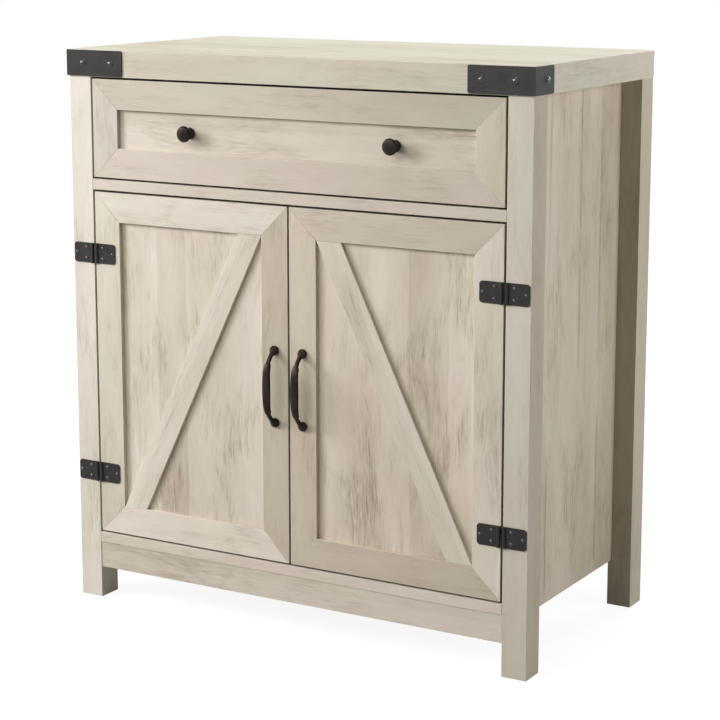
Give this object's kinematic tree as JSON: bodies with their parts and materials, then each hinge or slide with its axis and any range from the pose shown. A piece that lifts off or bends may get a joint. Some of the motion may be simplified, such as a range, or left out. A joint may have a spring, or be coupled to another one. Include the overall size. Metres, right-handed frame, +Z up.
{
  "type": "sideboard buffet",
  "caption": "Farmhouse sideboard buffet with a wide drawer over a cupboard with braced double doors, square legs and dark metal trim.",
  "frame": {"origin": "on the floor, at the centre of the overall box in plan (pulls included)", "axes": "+Z up, the doors face -Y, +X to the right seen from the front"},
  "size_m": [0.772, 0.427, 0.838],
  "materials": {
    "oak_top": "matte printed oak laminate, horizontal grain",
    "oak_rail": "matte printed oak laminate, horizontal grain",
    "oak_upright": "matte printed oak laminate, vertical grain",
    "oak_panel": "matte printed oak laminate, vertical grain",
    "oak_inside": "plain oak melamine",
    "hardboard": "hardboard, printed on the inner face",
    "black_iron": "satin black powder coat",
    "dark_bronze": "satin oil-rubbed bronze",
    "zinc_steel": "zinc-plated steel",
    "nylon": "moulded nylon",
    "beech": "plain beech"
  },
  "bodies": {
    "carcass": {"top_panel": "oak_top", "front_left_leg": "oak_upright", "front_right_leg": "oak_upright", "rear_left_leg": "oak_upright", "rear_right_leg": "oak_upright", "left_side_panel": "oak_panel", "right_side_panel": "oak_panel", "divider_panel": "oak_rail", "bottom_panel": "oak_rail", "front_apron": "oak_rail", "back_rail": "oak_inside", "back_panel": "hardboard", "back_panel_nails": "zinc_steel", "shelf": "oak_inside", "shelf_pins": "zinc_steel", "corner_brackets": "black_iron", "leg_hinge_leaves": "black_iron", "carcass_tacks": "black_iron", "hinge_arms": "zinc_steel", "hinge_mounting_plates": "zinc_steel", "carcass_screws": "zinc_steel", "cam_bolts": "zinc_steel", "cam_locks": "zinc_steel", "dowels": "beech", "magnetic_catch": "nylon", "cabinet_runners": "zinc_steel"},
    "drawer": {"drawer_runners": "zinc_steel", "drawer_front_panel": "oak_rail", "drawer_front_stiles": "oak_upright", "drawer_front_rails": "oak_rail", "drawer_box_ends": "oak_inside", "drawer_sides": "oak_inside", "drawer_bottom": "hardboard", "drawer_knobs": "dark_bronze", "drawer_screws": "zinc_steel"},
    "middle_runner_pair": {"middle_runners": "zinc_steel"},
    "outer_cage_pair": {"outer_ball_cages": "zinc_steel"},
    "inner_cage_pair": {"inner_ball_cages": "zinc_steel"},
    "left_door": {"left_door_panel": "oak_panel", "left_door_stiles": "oak_upright", "left_door_rails": "oak_rail", "left_door_brace": "oak_upright", "left_pull": "dark_bronze", "left_door_hinge_leaves": "black_iron", "left_door_tacks": "black_iron", "left_hinge_cups": "zinc_steel", "left_hinge_pins": "zinc_steel", "left_door_screws": "zinc_steel", "left_strike_plate": "zinc_steel"},
    "right_door": {"right_door_panel": "oak_panel", "right_door_stiles": "oak_upright", "right_door_rails": "oak_rail", "right_door_brace": "oak_upright", "right_pull": "dark_bronze", "right_door_hinge_leaves": "black_iron", "right_door_tacks": "black_iron", "right_hinge_cups": "zinc_steel", "right_hinge_pins": "zinc_steel", "right_door_screws": "zinc_steel", "right_strike_plate": "zinc_steel"}
  },
  "joints": [
    {"name": "drawer_slide", "type": "slide", "parent": "carcass", "child": "drawer", "axis": [0, -1, 0], "range_m": [0, 0.28]},
    {"name": "middle_runner_slide", "type": "slide", "parent": "carcass", "child": "middle_runner_pair", "axis": [0, -1, 0], "range_m": [0, 0.14]},
    {"name": "outer_cage_slide", "type": "slide", "parent": "carcass", "child": "outer_cage_pair", "axis": [0, -1, 0], "range_m": [0, 0.07]},
    {"name": "inner_cage_slide", "type": "slide", "parent": "carcass", "child": "inner_cage_pair", "axis": [0, -1, 0], "range_m": [0, 0.21]},
    {"name": "left_door_hinge", "type": "hinge", "parent": "carcass", "child": "left_door", "pos_m": [-0.318, -0.1785, 0.3675], "axis": [0, 0, -1], "range_deg": [0, 100]},
    {"name": "right_door_hinge", "type": "hinge", "parent": "carcass", "child": "right_door", "pos_m": [0.318, -0.1785, 0.3675], "axis": [0, 0, 1], "range_deg": [0, 100]}
  ],
  "couplings": [
    {"joint": "middle_runner_slide", "follows": "drawer_slide", "ratio": 0.5},
    {"joint": "outer_cage_slide", "follows": "drawer_slide", "ratio": 0.25},
    {"joint": "inner_cage_slide", "follows": "drawer_slide", "ratio": 0.75}
  ]
}
